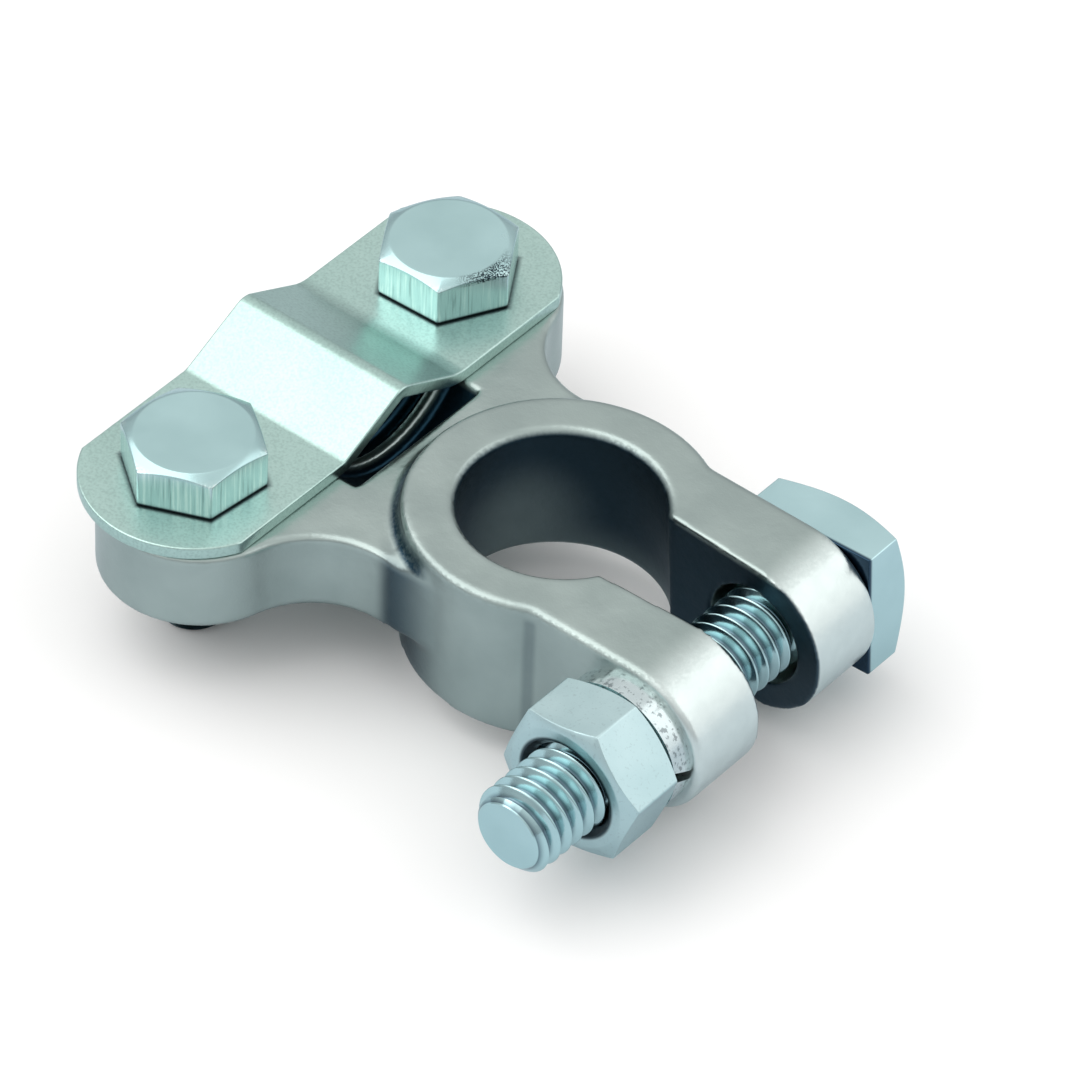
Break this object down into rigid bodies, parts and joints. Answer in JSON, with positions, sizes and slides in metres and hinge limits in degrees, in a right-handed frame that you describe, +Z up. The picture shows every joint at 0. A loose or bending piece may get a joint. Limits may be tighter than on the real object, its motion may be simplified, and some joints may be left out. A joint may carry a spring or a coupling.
{
  "type": "battery terminal clamp",
  "caption": "Battery terminal clamp: a split tapered ring with a clamp bolt across its ears, and a ribbed cable trough on the arm behind it under a folded steel saddle.",
  "frame": {"origin": "on the battery post's axis, in the plane of the split ring's underside, where the post comes in", "axes": "+Z up the post, from its thick foot to its thin end; +X from the post to the ears and the clamp bolt; +Y towards the clamp bolt's square head, so the nut is at -Y and the cable leaves at -X"},
  "size_m": [0.0592, 0.0533, 0.0201],
  "materials": {
    "tinned_casting": "satin tin plate over cast brass",
    "zinc_plated_steel": "bright zinc plate"
  },
  "bodies": {
    "casting": {"clamp_body": "tinned_casting", "lock_washer": "zinc_plated_steel"},
    "saddle": {"cable_saddle": "zinc_plated_steel"},
    "front_saddle_bolt": {"saddle_bolt_front": "zinc_plated_steel"},
    "rear_saddle_bolt": {"saddle_bolt_rear": "zinc_plated_steel"},
    "clamp_bolt": {"clamp_bolt": "zinc_plated_steel"},
    "nut": {"clamp_nut": "zinc_plated_steel"}
  },
  "joints": [
    {"name": "saddle_lift", "type": "slide", "parent": "casting", "child": "saddle", "axis": [0, 0, 1], "range_m": [0, 0.00698]},
    {"name": "front_bolt_turn", "type": "hinge", "parent": "saddle", "child": "front_saddle_bolt", "pos_m": [-0.026, -0.0163, 0.0135], "axis": [0, 0, 1], "range_deg": [0, 2000]},
    {"name": "rear_bolt_turn", "type": "hinge", "parent": "saddle", "child": "rear_saddle_bolt", "pos_m": [-0.026, 0.0163, 0.0135], "axis": [0, 0, 1], "range_deg": [0, 2000]},
    {"name": "clamp_bolt_turn", "type": "hinge", "parent": "casting", "child": "clamp_bolt", "pos_m": [0.0172, 0.0117, 0.0072], "axis": [0, 1, 0], "range_deg": [0, 1640]},
    {"name": "nut_travel", "type": "slide", "parent": "casting", "child": "nut", "axis": [0, -1, 0], "range_m": [0, 0.00635]}
  ],
  "couplings": [
    {"joint": "front_bolt_turn", "follows": "saddle_lift", "rad_per_m": 4947.4},
    {"joint": "rear_bolt_turn", "follows": "saddle_lift", "rad_per_m": 4947.4},
    {"joint": "clamp_bolt_turn", "follows": "nut_travel", "rad_per_m": 4452.7}
  ]
}
